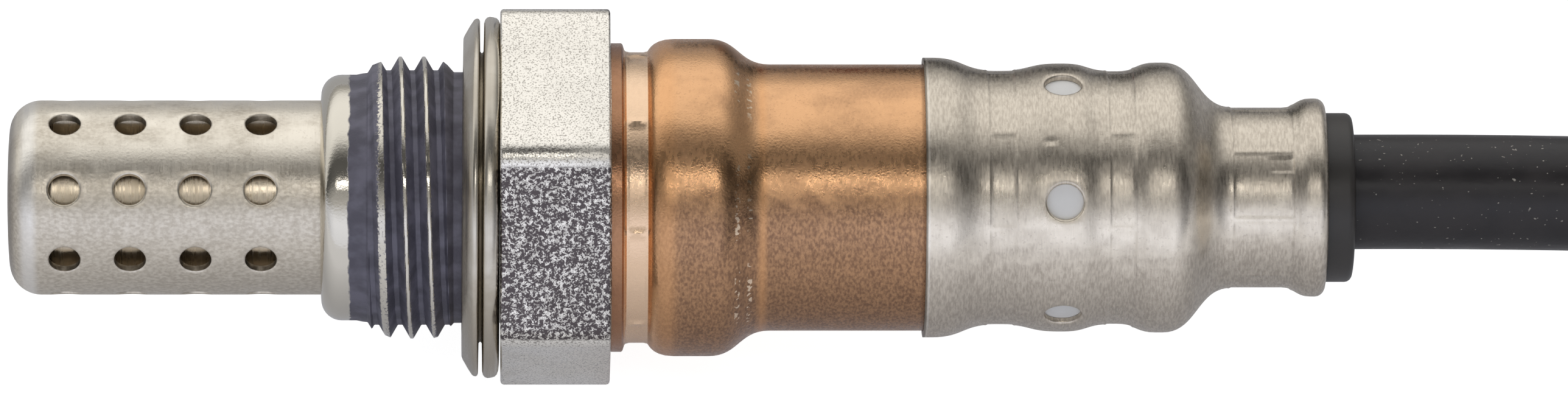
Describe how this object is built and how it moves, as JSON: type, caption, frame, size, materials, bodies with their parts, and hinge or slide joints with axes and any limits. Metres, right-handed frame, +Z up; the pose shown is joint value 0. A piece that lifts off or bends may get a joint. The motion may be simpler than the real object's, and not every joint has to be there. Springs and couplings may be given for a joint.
{
  "type": "oxygen sensor",
  "caption": "Screw-in exhaust oxygen sensor: perforated double tube at the gas end, hexagon housing, crush gasket, crimped vented rear shell, and a jacketed cable with a plug connector.",
  "frame": {"origin": "on the floor below the middle of the sensor's body, which lies on its gasket's rim; the cable and its connector aren't counted", "axes": "+X along the sensor's axis from the perforated gas end towards the cable, +Z up through a flat of the hexagon, +Y to the side where the cable is folded away"},
  "size_m": [0.2027, 0.0938, 0.0231],
  "materials": {
    "tube_steel": "bare heat-resistant stainless steel, fine circumferential grinding",
    "inner_tube_steel": "bare stainless steel, faintly straw coloured",
    "housing_steel": "plated steel, grey pitted flats, slate anti-seize compound on the shank",
    "gasket_steel": "soft rolled stainless steel, satin",
    "sleeve_bronze": "stainless steel with a bronze heat tint, satin",
    "cap_steel": "bare drawn stainless steel, crimp marks",
    "membrane": "white porous PTFE",
    "grommet_rubber": "matt fluoroelastomer",
    "cable_jacket": "black silicone jacket, slightly glossy",
    "lead_black": "PTFE insulation",
    "lead_grey": "PTFE insulation",
    "lead_white": "PTFE insulation",
    "zirconia": "sintered zirconia, matt",
    "heater_ceramic": "sintered alumina, matt",
    "talc": "pressed talc powder",
    "insulator_ceramic": "steatite, matt",
    "seal_ring_steel": "plain steel",
    "contact_nickel": "spring nickel alloy",
    "connector_plastic": "black glass-filled polyamide",
    "boot_rubber": "black silicone",
    "seal_silicone": "red-brown silicone",
    "lock_plastic": "grey-blue polyester",
    "terminal_tin": "tinned brass"
  },
  "bodies": {
    "root": {"outer_protection_tube": "tube_steel", "inner_protection_tube": "inner_tube_steel", "housing": "housing_steel", "sealing_gasket": "gasket_steel", "sleeve": "sleeve_bronze", "rear_cap": "cap_steel", "filter_membrane": "membrane", "grommet": "grommet_rubber", "lead_wire_1": "lead_black", "lead_wire_2": "lead_white", "lead_wire_3": "lead_grey", "lead_wire_4": "lead_white", "packing_washer": "seal_ring_steel", "zirconia_element": "zirconia", "heater_rod": "heater_ceramic", "talc_seal": "talc", "insulator_ring": "insulator_ceramic", "crimp_ring": "seal_ring_steel", "signal_contact": "contact_nickel", "ground_contact": "contact_nickel", "heater_contact_1": "contact_nickel", "heater_contact_2": "contact_nickel", "ceramic_separator": "insulator_ceramic", "separator_spring": "seal_ring_steel", "cable": "cable_jacket", "connector_boot": "boot_rubber", "connector_housing": "connector_plastic", "connector_seal": "seal_silicone", "terminal_lock": "lock_plastic", "connector_terminal_1": "terminal_tin", "connector_terminal_2": "terminal_tin", "connector_terminal_3": "terminal_tin", "connector_terminal_4": "terminal_tin", "connector_wire_1": "lead_black", "connector_wire_2": "lead_white", "connector_wire_3": "lead_grey", "connector_wire_4": "lead_white"}
  },
  "joints": []
}
